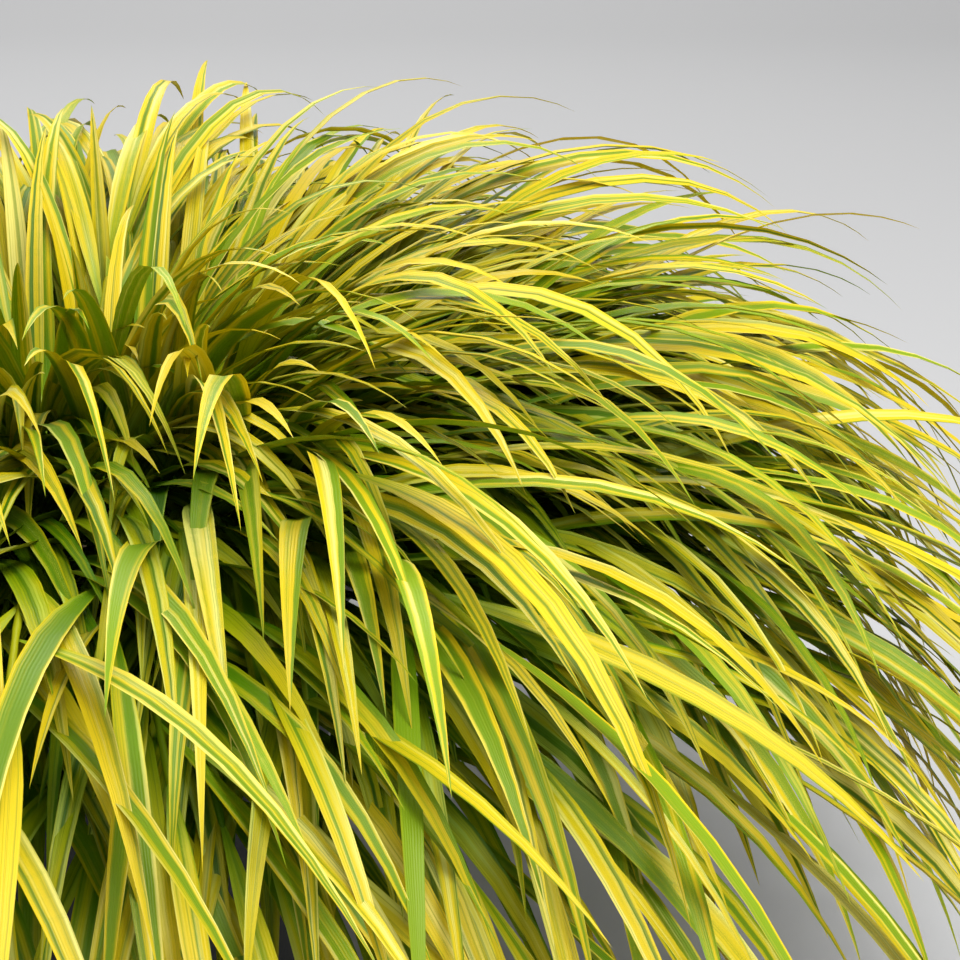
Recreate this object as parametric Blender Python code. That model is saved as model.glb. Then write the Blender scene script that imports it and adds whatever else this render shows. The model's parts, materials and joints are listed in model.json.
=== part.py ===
"""Japanese forest grass: a fountain of striped leaf blades on arching stems, in soil, in a plain pot.

Metres, +Z up. The origin is the centre of the pot's underside, on the surface that it stands on.
Every leafy stem is one solid: a wiry stem with its leaf blades grown out of it, alternately left and
right. Each stands in its own hole in the soil and is bent clear of its neighbours.
"""

import math
import random

import bmesh
import bpy
from mathutils import Matrix, Vector
from mathutils.bvhtree import BVHTree

MM = 0.001

# Pot, a plain turned one with a rolled rim
POT_HEIGHT = 225 * MM
POT_TOP_RADIUS = 127 * MM
POT_BASE_RADIUS = 94 * MM
POT_WALL = 7 * MM
POT_FLOOR = 10 * MM
RIM_HEIGHT = 22 * MM
RIM_OVERHANG = 5 * MM
RIM_EASE = 2.5 * MM
POT_SIDES = 32
DRAIN_HOLES = 4
DRAIN_RADIUS = 6 * MM
DRAIN_CIRCLE = 55 * MM
DRAIN_SIDES = 8
TURN_MERGE = 0.05 * MM
SHARP_ANGLE = math.radians(30)

# Soil, which fills the pot to a little under its rim
SOIL_TOP = 216 * MM
SEAT_GAP = 0.3 * MM
ROOT_DEPTH = 26 * MM
ROOT_ABOVE = 8 * MM
ROOT_LEAN_SHARE = 0.3
HOLE_GAP = 0.35 * MM

# Leafy stems, from the middle of the crown (in) to its edge (out)
STEMS = 57
SEED = 7
GOLDEN_ANGLE = math.pi * (3 - math.sqrt(5))
CROWN_RADIUS = 90 * MM
CROWN_SPREAD = 0.4
TURN_JITTER = 0.25
LEAN_IN, LEAN_OUT, LEAN_JITTER = 18, 70, 8
STEM_LENGTH_IN, STEM_LENGTH_OUT, STEM_LENGTH_JITTER = 54 * MM, 262 * MM, 0.16
STEM_SAG_IN, STEM_SAG_OUT, STEM_SAG_JITTER = 0.7, 1.15, 0.2
STEM_RADIUS_ROOT, STEM_RADIUS_TIP = 1.9 * MM, 1.5 * MM
STEM_SIDES = 3
STEM_STATIONS = (0.0, 0.2, 0.4, 0.6, 0.8, 1.0)

# Leaf blades
LEAVES_IN, LEAVES_OUT = 6, 8
FIRST_LEAF, LAST_LEAF = 0.26, 0.98
LEAF_LENGTH = (145 * MM, 230 * MM)
LOW_LEAF_SHARE, TIP_LEAF_SHARE = 0.8, 1.05
LEAF_WIDTH = (7.8 * MM, 10.6 * MM)
LEAF_SIDE = (14, 36)
LEAF_LIFT = (-2, 20)
LEAF_SAG_IN, LEAF_SAG_OUT = (1.4, 2.2), (0.8, 1.7)
LEAF_ROLL = 24
LEAF_BASE_SHARE = 0.1
LEAF_WIDEST_AT = 0.3
LEAF_TAPER = 1.7
LEAF_BASE_DEPTH, LEAF_DEPTH, LEAF_TIP_DEPTH = 0.8 * MM, 1.2 * MM, 0.4 * MM
KEEL_SHARE = 2 / 3
LEAF_STATIONS = (0.0, 0.15, 0.38, 0.66, 1.0)

# Growing room
LINE_STEPS = 24
LOWEST_TIP = 34 * MM
CLEARANCE = 0.45 * MM
STEM_TRIES = 300
LEAF_TRIES = 24

# Colours
YELLOW = (0.72, 0.62, 0.03, 1)
EARTH = (0.035, 0.024, 0.016, 1)
CHARCOAL = (0.045, 0.046, 0.048, 1)


def mix(a, b, share):
    return a + (b - a) * share


def between(pair_in, pair_out, share, draw):
    """A draw from a range that changes from the crown's middle to its edge."""
    return mix(mix(pair_in[0], pair_out[0], share), mix(pair_in[1], pair_out[1], share), draw)


def drooping_line(start, way, length, sag, ease):
    """Points and directions of a line that leaves start along way and is drawn down by its weight."""
    point, way = Vector(start), Vector(way).normalized()
    points, ways = [point.copy()], [way.copy()]
    for step in range(LINE_STEPS):
        pull = sag * (1 + ease) * ((step + 0.5) / LINE_STEPS) ** ease / LINE_STEPS
        way = (way - Vector((0, 0, pull))).normalized()
        point = point + way * (length / LINE_STEPS)
        points.append(point.copy())
        ways.append(way.copy())
    return points, ways


def along(line, share):
    """The value at a share of a line's length."""
    place = min(max(share, 0.0), 1.0) * (len(line) - 1)
    step = min(int(place), len(line) - 2)
    return line[step].lerp(line[step + 1], place - step)


def on_rod(stem_points, share):
    """The middle of the stem's solid at a share of its length, which runs straight between its stations."""
    for start, end in zip(STEM_STATIONS, STEM_STATIONS[1:]):
        if share <= end:
            break
    return along(stem_points, start).lerp(along(stem_points, end), (share - start) / (end - start))


def level_across(way):
    """The level direction at right angles to way."""
    return Vector((way.x, way.y, 0)).normalized().cross(Vector((0, 0, 1)))


def grow_stem_line(draw, index, count):
    """The stem's place in the crown, 0 in the middle and 1 at the edge, with its points and directions."""
    place = ((index + 0.5) / count) ** CROWN_SPREAD
    turn = index * GOLDEN_ANGLE + draw.uniform(-TURN_JITTER, TURN_JITTER)
    lean = math.radians(mix(LEAN_IN, LEAN_OUT, place) + draw.uniform(-1, 1) * LEAN_JITTER)
    length = mix(STEM_LENGTH_IN, STEM_LENGTH_OUT, place)
    length *= 1 + draw.uniform(-1, 1) * STEM_LENGTH_JITTER
    sag = mix(STEM_SAG_IN, STEM_SAG_OUT, place) * (1 + draw.uniform(-1, 1) * STEM_SAG_JITTER)
    out = Vector((math.cos(turn), math.sin(turn), 0))
    way = out * math.sin(lean) + Vector((0, 0, math.cos(lean)))
    start = out * (CROWN_RADIUS * place) + Vector((0, 0, SOIL_TOP + ROOT_ABOVE))
    points, ways = drooping_line(start, way, length, sag, ease=1.0)
    return place, points, ways


def grow_leaf_line(draw, place, stem_points, stem_ways, share, hand):
    """One blade's points, directions, width direction and width. hand is -1 left, 1 right, 0 at the tip."""
    way = along(stem_ways, share).normalized()
    side = math.radians(draw.uniform(*LEAF_SIDE)) * hand
    way = Matrix.Rotation(side, 3, "Z") @ way
    lift = math.radians(draw.uniform(*LEAF_LIFT))
    way = Matrix.Rotation(lift, 3, level_across(way)) @ way
    length = draw.uniform(*LEAF_LENGTH) * mix(LOW_LEAF_SHARE, TIP_LEAF_SHARE, share)
    width = draw.uniform(*LEAF_WIDTH)
    sag = between(LEAF_SAG_IN, LEAF_SAG_OUT, place, draw.random())
    roll = math.radians(draw.uniform(-1, 1) * LEAF_ROLL)
    points, ways = drooping_line(on_rod(stem_points, share), way, length, sag, ease=0.8)
    across = Matrix.Rotation(roll, 3, way) @ level_across(way)
    return points, ways, across, width


def blade_width_share(share):
    """A blade's width at a share of its length, as a share of its widest: a narrow foot, a long fine tip."""
    swell = LEAF_BASE_SHARE + (1 - LEAF_BASE_SHARE) * math.sin(math.pi / 2 * min(1, share / LEAF_WIDEST_AT))
    past = max(0.0, share - LEAF_WIDEST_AT) / (1 - LEAF_WIDEST_AT)
    return swell * (1 - past**LEAF_TAPER)


def lofted(rings):
    """Vertices and faces of a closed skin over rings of points. A last ring of one point makes a tip."""
    points = [point for ring in rings for point in ring]
    sides = len(rings[0])
    faces = [tuple(range(sides - 1, -1, -1))]
    first = 0
    for ring, following in zip(rings, rings[1:]):
        second = first + sides
        for side in range(sides):
            near, far = side, (side + 1) % sides
            if len(following) == 1:
                faces.append((first + near, first + far, second))
            else:
                faces.append((first + near, first + far, second + far))
                faces.append((first + near, second + far, second + near))
        first = second
    if len(rings[-1]) > 1:
        faces.append(tuple(range(first, first + sides)))
    return points, faces


def blade_skin(blade, extra=0.0):
    """A blade as a thin keeled solid: two edges on top and a keel under the middle. extra thickens it."""
    points, ways, across, width = blade
    rings = []
    for share in LEAF_STATIONS:
        centre, way = along(points, share), along(ways, share).normalized()
        if share == LEAF_STATIONS[-1] and not extra:
            rings.append([centre])
            continue
        up = across.cross(way).normalized()
        half = across * (width / 2 * blade_width_share(share) + extra)
        depth = mix(LEAF_BASE_DEPTH, LEAF_DEPTH, min(1, share / LEAF_WIDEST_AT))
        if share > LEAF_WIDEST_AT:
            depth = mix(LEAF_DEPTH, LEAF_TIP_DEPTH, (share - LEAF_WIDEST_AT) / (1 - LEAF_WIDEST_AT))
        top = centre + up * (depth * (1 - KEEL_SHARE) + extra)
        keel = centre - up * (depth * KEEL_SHARE + extra)
        rings.append([top - half, keel, top + half])
    return lofted(rings)


def leaf_shares(place):
    """Where along its stem each blade grows, as shares of the stem's length."""
    leaves = round(mix(LEAVES_IN, LEAVES_OUT, place))
    return [mix(FIRST_LEAF, LAST_LEAF, leaf / (leaves - 1)) for leaf in range(leaves)]


def root_way(ways):
    """The direction of a stem in the soil, which is steeper than the lean it takes up above it."""
    return Vector((ways[0].x * ROOT_LEAN_SHARE, ways[0].y * ROOT_LEAN_SHARE, 1)).normalized()


def stem_skin(points, ways, extra=0.0):
    """A stem as a tapering three-sided rod, from its root end in the soil to its tip."""
    root = points[0] - root_way(ways) * (ROOT_DEPTH + ROOT_ABOVE)
    places = [(root, root_way(ways), STEM_RADIUS_ROOT)]
    for share in STEM_STATIONS:
        radius = mix(STEM_RADIUS_ROOT, STEM_RADIUS_TIP, share)
        places.append((along(points, share), along(ways, share).normalized(), radius))
    rings = []
    for centre, way, radius in places:
        right = level_across(way)
        up = right.cross(way).normalized()
        reach = radius + extra
        rings.append([
            centre + (right * math.cos(turn) + up * math.sin(turn)) * reach
            for turn in (math.tau * side / STEM_SIDES for side in range(STEM_SIDES))
        ])
    return lofted(rings)


def box_of(points):
    """Lowest and highest corner of a list of points."""
    low = Vector(min(point[axis] for point in points) for axis in range(3))
    high = Vector(max(point[axis] for point in points) for axis in range(3))
    return low, high


class Grown:
    """What has grown so far, so that nothing new is let through it."""

    def __init__(self):
        self.skins = []

    def is_clear(self, skin, passing=()):
        """Whether a skin meets nothing that has grown, apart from the entries numbered in passing."""
        low, high = box_of(skin[0])
        tree = None
        for number, (other_low, other_high, other) in enumerate(self.skins):
            if number in passing:
                continue
            if any(low[axis] > other_high[axis] or high[axis] < other_low[axis] for axis in range(3)):
                continue
            tree = tree or BVHTree.FromPolygons(*skin)
            if tree.overlap(other):
                return False
        return True

    def add(self, skin):
        """Keeps a skin, and returns its number."""
        self.skins.append((*box_of(skin[0]), BVHTree.FromPolygons(*skin)))
        return len(self.skins) - 1


def grow_leafy_stem(index, count, grown, soil_surface):
    """The skins of one stem and its blades, clear of all that grew before. Only the root enters the soil."""
    draw = random.Random(SEED + index)
    for _ in range(STEM_TRIES):
        place, points, ways = grow_stem_line(draw, index, count)
        if grown.is_clear(stem_skin(points, ways, CLEARANCE), passing=(soil_surface,)):
            break
    stem = stem_skin(points, ways)
    own = grown.add(stem)
    skins = [stem]
    shares = leaf_shares(place)
    for leaf, share in enumerate(shares):
        hand = 0 if share == shares[-1] else (-1) ** leaf
        for _ in range(LEAF_TRIES):
            blade = grow_leaf_line(draw, place, points, ways, share, hand)
            high_enough = min(point.z for point in blade[0]) > LOWEST_TIP
            if high_enough and grown.is_clear(blade_skin(blade, CLEARANCE), passing=(own,)):
                skin = blade_skin(blade)
                grown.add(skin)
                skins.append(skin)
                break
    return skins, points, ways


def material(name, colour, roughness):
    made = bpy.data.materials.new(name)
    made.use_nodes = True
    shader = made.node_tree.nodes["Principled BSDF"]
    shader.inputs["Base Color"].default_value = colour
    shader.inputs["Roughness"].default_value = roughness
    shader.inputs["Metallic"].default_value = 0.0
    return made


def add_object(name, points, faces, finish=None):
    """A mesh object of those points and faces, with its faces turned outwards."""
    mesh = bpy.data.meshes.new(name)
    mesh.from_pydata([tuple(point) for point in points], [], faces)
    bm = bmesh.new()
    bm.from_mesh(mesh)
    bmesh.ops.recalc_face_normals(bm, faces=bm.faces)
    bm.to_mesh(mesh)
    bm.free()
    if finish:
        mesh.materials.append(finish)
    made = bpy.data.objects.new(name, mesh)
    bpy.context.scene.collection.objects.link(made)
    return made


def apply_modifiers(thing):
    """Writes the evaluated mesh back as the object's own."""
    graph = bpy.context.evaluated_depsgraph_get()
    mesh = bpy.data.meshes.new_from_object(thing.evaluated_get(graph))
    thing.modifiers.clear()
    thing.data = mesh


def boolean_with(thing, others, operation):
    """Joins or cuts a thing with a collection of others in one go, and removes the others."""
    tools = bpy.data.collections.new("tools")
    bpy.context.scene.collection.children.link(tools)
    for other in others:
        other.users_collection[0].objects.unlink(other)
        tools.objects.link(other)
    modifier = thing.modifiers.new(operation.title(), "BOOLEAN")
    modifier.operation = operation
    modifier.operand_type = "COLLECTION"
    modifier.collection = tools
    modifier.solver = "EXACT"
    apply_modifiers(thing)
    for other in others:
        bpy.data.objects.remove(other)
    bpy.data.collections.remove(tools)


def turned(name, profile, finish):
    """A round piece: a closed outline of (radius, height), down its outer side first, turned about +Z."""
    points = [(radius, 0, height) for radius, height in profile]
    edges = [(end, (end + 1) % len(points)) for end in range(len(points))]
    off_axis = [edge for edge in edges if any(points[end][0] for end in edge)]
    mesh = bpy.data.meshes.new(name)
    mesh.from_pydata(points, off_axis, [])
    mesh.materials.append(finish)
    made = bpy.data.objects.new(name, mesh)
    bpy.context.scene.collection.objects.link(made)
    screw = made.modifiers.new("Turn", "SCREW")
    screw.steps = screw.render_steps = POT_SIDES
    screw.use_merge_vertices = True
    screw.merge_threshold = TURN_MERGE
    apply_modifiers(made)
    return made


def outer_radius(height):
    """The pot's outer wall at a height, under its rim."""
    return mix(POT_BASE_RADIUS, POT_TOP_RADIUS, height / POT_HEIGHT)


def inner_radius(height):
    """The pot's inner wall at a height."""
    return outer_radius(height) - POT_WALL


def build_pot():
    rim_foot = POT_HEIGHT - RIM_HEIGHT
    rim_radius = POT_TOP_RADIUS + RIM_OVERHANG
    pot = turned("pot", [
        (POT_TOP_RADIUS - POT_WALL + RIM_EASE, POT_HEIGHT),
        (rim_radius - RIM_EASE, POT_HEIGHT),
        (rim_radius, POT_HEIGHT - RIM_EASE),
        (rim_radius, rim_foot + RIM_EASE),
        (outer_radius(rim_foot), rim_foot),
        (outer_radius(RIM_EASE), RIM_EASE),
        (POT_BASE_RADIUS - RIM_EASE, 0),
        (0, 0),
        (0, POT_FLOOR),
        (inner_radius(POT_FLOOR), POT_FLOOR),
        (inner_radius(POT_HEIGHT), POT_HEIGHT - RIM_EASE),
    ], material("pot charcoal", CHARCOAL, roughness=0.6))
    drains = []
    for hole in range(DRAIN_HOLES):
        turn = math.tau * (hole + 0.5) / DRAIN_HOLES
        bpy.ops.mesh.primitive_cylinder_add(
            vertices=DRAIN_SIDES, radius=DRAIN_RADIUS, depth=POT_FLOOR * 2,
            location=(DRAIN_CIRCLE * math.cos(turn), DRAIN_CIRCLE * math.sin(turn), POT_FLOOR / 2),
        )
        drains.append(bpy.context.object)
    boolean_with(pot, drains, "DIFFERENCE")
    pot.data.shade_smooth()
    pot.data.set_sharp_from_angle(angle=SHARP_ANGLE)
    return pot


def build_soil(root_lines):
    """The soil, with a plain tilted hole for each stem."""
    floor = POT_FLOOR + SEAT_GAP
    soil = turned("soil", [
        (0, SOIL_TOP),
        (inner_radius(SOIL_TOP) - SEAT_GAP, SOIL_TOP),
        (inner_radius(floor) - SEAT_GAP, floor),
        (0, floor),
    ], material("soil earth", EARTH, roughness=0.95))
    bm = bmesh.new()
    bm.from_mesh(soil.data)
    top = [face for face in bm.faces if min(corner.co.z for corner in face.verts) > SOIL_TOP - SEAT_GAP]
    bmesh.ops.dissolve_faces(bm, faces=top)
    bm.to_mesh(soil.data)
    bm.free()
    holes = []
    for number, (points, ways) in enumerate(root_lines):
        way = root_way(ways)
        bottom = points[0] - way * (ROOT_DEPTH + ROOT_ABOVE + HOLE_GAP)
        mouth = points[0] + way * ROOT_ABOVE
        right = level_across(way)
        up = right.cross(way).normalized()
        reach = STEM_RADIUS_ROOT + HOLE_GAP / math.cos(math.pi / STEM_SIDES)
        rings = [[
            centre + (right * math.cos(turn) + up * math.sin(turn)) * reach
            for turn in (math.tau * side / STEM_SIDES for side in range(STEM_SIDES))
        ] for centre in (bottom, mouth)]
        holes.append(add_object(f"hole_{number}", *lofted(rings)))
    boolean_with(soil, holes, "DIFFERENCE")
    return soil


def build_leafy_stem(index, skins, finish):
    """One stem with its blades, fused into one solid."""
    stem = add_object(f"leafy_stem_{index + 1:02d}", *skins[0], finish)
    blades = [add_object(f"blade_{number}", *skin) for number, skin in enumerate(skins[1:])]
    boolean_with(stem, blades, "UNION")
    return stem


def main():
    for thing in list(bpy.data.objects):
        bpy.data.objects.remove(thing)
    grown = Grown()
    leaf_finish = material("leaf yellow", YELLOW, roughness=0.45)
    root_lines = []
    blades = 0
    pot = build_pot()
    corners = [vertex.co for vertex in pot.data.vertices]
    grown.add((corners, [tuple(face.vertices) for face in pot.data.polygons]))
    edge = [Vector((math.cos(turn), math.sin(turn), 0)) * inner_radius(SOIL_TOP) + Vector((0, 0, SOIL_TOP))
            for turn in (math.tau * side / POT_SIDES for side in range(POT_SIDES))]
    soil_surface = grown.add((edge, [tuple(range(POT_SIDES))]))
    for index in range(STEMS):
        skins, points, ways = grow_leafy_stem(index, STEMS, grown, soil_surface)
        build_leafy_stem(index, skins, leaf_finish)
        root_lines.append((points, ways))
        blades += len(skins) - 1
    build_soil(root_lines)
    print(f"{STEMS} stems with {blades} blades")


if __name__ == "__main__":
    main()
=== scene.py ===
# %% [markdown]
# # Japanese forest grass in its pot
# A clump of this grass is a fountain. Wiry stems stand close together in the middle, lean out more the
# nearer they are to the edge, and bow under their own leaves. Each stem carries six to eight blades, left
# and right in turn, and every blade arches over and ends in a fine tip. The blades are yellow with green
# stripes that run their whole length. This lesson models one blade and one stem by hand, then lets a
# growing rule lay copies of them along arched lines.

# %% Load the frame
import json
import math
import random

import bpy
import numpy as np
from mathutils import Matrix, Vector

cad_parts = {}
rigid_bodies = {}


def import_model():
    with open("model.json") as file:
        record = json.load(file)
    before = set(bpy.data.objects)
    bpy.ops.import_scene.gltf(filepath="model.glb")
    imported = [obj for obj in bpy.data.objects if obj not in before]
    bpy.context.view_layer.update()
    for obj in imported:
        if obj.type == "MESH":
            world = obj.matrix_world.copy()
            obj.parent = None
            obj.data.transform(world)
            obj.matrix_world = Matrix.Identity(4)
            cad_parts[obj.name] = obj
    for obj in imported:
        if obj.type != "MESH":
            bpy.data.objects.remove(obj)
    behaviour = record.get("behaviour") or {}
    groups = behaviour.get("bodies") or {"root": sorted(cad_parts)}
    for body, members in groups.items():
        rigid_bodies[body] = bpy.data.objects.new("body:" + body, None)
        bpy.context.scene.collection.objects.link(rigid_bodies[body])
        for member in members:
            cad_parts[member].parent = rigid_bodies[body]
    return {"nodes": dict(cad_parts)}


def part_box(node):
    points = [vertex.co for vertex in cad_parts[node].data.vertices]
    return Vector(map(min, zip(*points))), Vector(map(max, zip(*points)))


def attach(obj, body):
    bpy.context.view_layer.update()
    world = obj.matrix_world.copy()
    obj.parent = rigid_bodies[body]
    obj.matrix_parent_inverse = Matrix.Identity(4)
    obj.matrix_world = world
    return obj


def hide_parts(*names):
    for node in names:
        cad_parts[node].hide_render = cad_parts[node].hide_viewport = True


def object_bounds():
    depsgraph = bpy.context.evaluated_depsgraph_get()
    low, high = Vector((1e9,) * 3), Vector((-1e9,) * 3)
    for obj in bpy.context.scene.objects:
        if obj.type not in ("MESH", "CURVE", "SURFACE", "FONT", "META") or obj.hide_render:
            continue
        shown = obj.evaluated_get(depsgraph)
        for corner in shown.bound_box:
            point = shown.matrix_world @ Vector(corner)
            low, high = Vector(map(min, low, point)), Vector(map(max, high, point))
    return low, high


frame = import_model()
CAD_LOW, CAD_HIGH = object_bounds()
MM = 0.001
STEM_NODES = sorted(name for name in frame["nodes"] if name.startswith("leafy_stem_"))
print(f"frame: {len(STEM_NODES)} leafy stems, "
      f"box {[round(v, 3) for v in CAD_LOW]} to {[round(v, 3) for v in CAD_HIGH]}")

# %% [markdown]
# The camera comes first, so that every render shows what the photograph shows. It looks 21 degrees down,
# from under a metre away, and the crown of the plant is near the picture's left edge. The distance and the
# angle of view fix where everything else falls.

# %% Place the camera
PICTURE_PIXELS = 960
CROWN_PIXEL = (80, 542)
CAMERA_ELEVATION = math.radians(21)
CAMERA_DISTANCE = 0.95
CAMERA_ANGLE = math.radians(26)
SENSOR = 36
SOIL_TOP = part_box("soil")[1].z
CROWN = Vector((0, 0, SOIL_TOP))


def place_camera():
    """A camera that sees the crown at its pixel, from the distance and height of the photograph's."""
    back = Vector((0, -math.cos(CAMERA_ELEVATION), math.sin(CAMERA_ELEVATION)))
    right = Vector((1, 0, 0))
    up = back.cross(right)
    metres_per_pixel = 2 * math.tan(CAMERA_ANGLE / 2) * CAMERA_DISTANCE / PICTURE_PIXELS
    aside = (CROWN_PIXEL[0] - PICTURE_PIXELS / 2) * metres_per_pixel
    above = (PICTURE_PIXELS / 2 - CROWN_PIXEL[1]) * metres_per_pixel
    data = bpy.data.cameras.new("camera")
    data.sensor_width = SENSOR
    data.lens = SENSOR / 2 / math.tan(CAMERA_ANGLE / 2)
    camera = bpy.data.objects.new("camera", data)
    bpy.context.scene.collection.objects.link(camera)
    camera.location = CROWN - right * aside - up * above + back * CAMERA_DISTANCE
    camera.rotation_euler = (-back).to_track_quat("-Z", "Y").to_euler()
    bpy.context.scene.camera = camera
    return metres_per_pixel


print(f"camera: a pixel is {place_camera() / MM:.2f} mm at the crown")

# %% [markdown]
# ## The growing rule
# A real clump grows by a simple rule, and so does this one. Stems are set out by the golden angle, which
# fills a round crown evenly with no rows. The further out a stem stands, the further it leans and the
# longer it is. Stems and blades alike are lines that start in one direction and are pulled down a little
# more with each step, as a fishing rod bows. The same values made the model's solids, so the fine blades
# fall just where the solid ones are.

# %% Set the sizes that the growth follows
# IN and OUT are the values in the middle of the crown and at its edge. Leans, turns and rolls are in degrees.
SEED = 7
GOLDEN_ANGLE = math.pi * (3 - math.sqrt(5))
CROWN_RADIUS = 90 * MM
CROWN_SPREAD = 0.4
TURN_JITTER = 0.25
LEAN_IN, LEAN_OUT, LEAN_JITTER = 18, 70, 8
STEM_LENGTH_IN, STEM_LENGTH_OUT, STEM_LENGTH_JITTER = 54 * MM, 262 * MM, 0.16
STEM_SAG_IN, STEM_SAG_OUT, STEM_SAG_JITTER = 0.7, 1.15, 0.2
STEM_RADIUS_ROOT, STEM_RADIUS_TIP = 1.9 * MM, 1.5 * MM
STEM_STATIONS = (0.0, 0.2, 0.4, 0.6, 0.8, 1.0)
ROOT_DEPTH = 26 * MM
ROOT_ABOVE = 8 * MM
ROOT_LEAN_SHARE = 0.3
LEAVES_IN, LEAVES_OUT = 6, 8
FIRST_LEAF, LAST_LEAF = 0.26, 0.98
LEAF_LENGTH = (145 * MM, 230 * MM)
LOW_LEAF_SHARE, TIP_LEAF_SHARE = 0.8, 1.05
LEAF_WIDTH = (7.8 * MM, 10.6 * MM)
LEAF_SIDE = (14, 36)
LEAF_LIFT = (-2, 20)
LEAF_SAG_IN, LEAF_SAG_OUT = (1.4, 2.2), (0.8, 1.7)
LEAF_ROLL = 24
STEM_EASE, LEAF_EASE = 1.0, 0.8
LEAF_BASE_SHARE = 0.1
LEAF_WIDEST_AT = 0.36
LEAF_TAPER = 1.7
LINE_STEPS = 24
STEM_TRIES = 300
LEAF_TRIES = 24


def mix(a, b, share):
    """The value at a share of the way from a to b."""
    return a + (b - a) * share


def between(pair_in, pair_out, share, draw):
    """A draw from a range that changes from the crown's middle to its edge."""
    return mix(mix(pair_in[0], pair_out[0], share), mix(pair_in[1], pair_out[1], share), draw)


# %% Draw a line that bows under its own weight
def drooping_line(start, way, length, sag, ease):
    """Points and directions of a line that leaves start along way and is drawn down by its weight."""
    point, way = Vector(start), Vector(way).normalized()
    points, ways = [point.copy()], [way.copy()]
    for step in range(LINE_STEPS):
        pull = sag * (1 + ease) * ((step + 0.5) / LINE_STEPS) ** ease / LINE_STEPS
        way = (way - Vector((0, 0, pull))).normalized()
        point = point + way * (length / LINE_STEPS)
        points.append(point.copy())
        ways.append(way.copy())
    return points, ways


def along(line, share):
    """The value at a share of a line's length."""
    place = min(max(share, 0.0), 1.0) * (len(line) - 1)
    step = min(int(place), len(line) - 2)
    return line[step].lerp(line[step + 1], place - step)


def on_rod(stem_points, share):
    """The middle of the stem's solid at a share of its length, which runs straight between its stations."""
    for start, end in zip(STEM_STATIONS, STEM_STATIONS[1:]):
        if share <= end:
            break
    return along(stem_points, start).lerp(along(stem_points, end), (share - start) / (end - start))


def level_across(way):
    """The level direction at right angles to way."""
    return Vector((way.x, way.y, 0)).normalized().cross(Vector((0, 0, 1)))


# %% Grow the line of a stem and of a blade
def grow_stem_line(draw, index, count, bow):
    """The stem's place in the crown, 0 in the middle and 1 at the edge, with its points and directions."""
    place = ((index + 0.5) / count) ** CROWN_SPREAD
    turn = index * GOLDEN_ANGLE + draw.uniform(-TURN_JITTER, TURN_JITTER)
    lean = math.radians(mix(LEAN_IN, LEAN_OUT, place) + draw.uniform(-1, 1) * LEAN_JITTER)
    length = mix(STEM_LENGTH_IN, STEM_LENGTH_OUT, place)
    length *= 1 + draw.uniform(-1, 1) * STEM_LENGTH_JITTER
    sag = mix(STEM_SAG_IN, STEM_SAG_OUT, place) * (1 + draw.uniform(-1, 1) * STEM_SAG_JITTER)
    out = Vector((math.cos(turn), math.sin(turn), 0))
    way = out * math.sin(lean) + Vector((0, 0, math.cos(lean)))
    start = out * (CROWN_RADIUS * place) + Vector((0, 0, SOIL_TOP + ROOT_ABOVE))
    points, ways = drooping_line(start, way, length, sag * bow, STEM_EASE)
    return place, points, ways


def grow_leaf_line(draw, place, stem_points, stem_ways, share, hand, bow):
    """One blade's points, directions, width direction and width. hand is -1 left, 1 right, 0 at the tip."""
    way = along(stem_ways, share).normalized()
    side = math.radians(draw.uniform(*LEAF_SIDE)) * hand
    way = Matrix.Rotation(side, 3, "Z") @ way
    lift = math.radians(draw.uniform(*LEAF_LIFT))
    way = Matrix.Rotation(lift, 3, level_across(way)) @ way
    length = draw.uniform(*LEAF_LENGTH) * mix(LOW_LEAF_SHARE, TIP_LEAF_SHARE, share)
    width = draw.uniform(*LEAF_WIDTH)
    sag = between(LEAF_SAG_IN, LEAF_SAG_OUT, place, draw.random())
    roll = math.radians(draw.uniform(-1, 1) * LEAF_ROLL)
    points, ways = drooping_line(on_rod(stem_points, share), way, length, sag * bow, LEAF_EASE)
    across = Matrix.Rotation(roll, 3, way) @ level_across(way)
    return points, ways, across, width


def leaf_count(place):
    """How many blades a stem carries at its place in the crown."""
    return round(mix(LEAVES_IN, LEAVES_OUT, place))


def leaf_shares(leaves):
    """Where along its stem each blade grows, as shares of the stem's length."""
    return [mix(FIRST_LEAF, LAST_LEAF, leaf / (leaves - 1)) for leaf in range(leaves)]


def blade_width_share(share):
    """A blade's width at a share of its length, as a share of its widest. Foot and tip are narrow."""
    swell = LEAF_BASE_SHARE + (1 - LEAF_BASE_SHARE) * math.sin(math.pi / 2 * min(1, share / LEAF_WIDEST_AT))
    past = max(0.0, share - LEAF_WIDEST_AT) / (1 - LEAF_WIDEST_AT)
    return swell * (1 - past**LEAF_TAPER)


def root_way(ways):
    """The direction of a stem in the soil, which is steeper than the lean it takes up above it."""
    return Vector((ways[0].x * ROOT_LEAN_SHARE, ways[0].y * ROOT_LEAN_SHARE, 1)).normalized()


print(f"rule: stems {STEM_LENGTH_IN / MM:.0f} to {STEM_LENGTH_OUT / MM:.0f} mm, "
      f"blades {LEAF_LENGTH[0] / MM:.0f} to {LEAF_LENGTH[1] / MM:.0f} mm")

# %% [markdown]
# ## One blade and one stem, modelled by hand
# Everything long and thin here is made the same way. A small ring of points is added, extruded forward
# step by step, and scaled after each step, so the outline of the piece is in the scale values. A blade's
# ring is a flat diamond: two margins, the midrib on top and the keel below. Its margins are then lifted
# into the shallow V that lets a grass blade hold itself out. A stem's ring is round, and it swells where
# the sheath of each leaf wraps it.

# %% Make a tool that draws a ring out into a body
def deselect_everything():
    for thing in bpy.context.view_layer.objects:
        thing.select_set(False)


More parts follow.
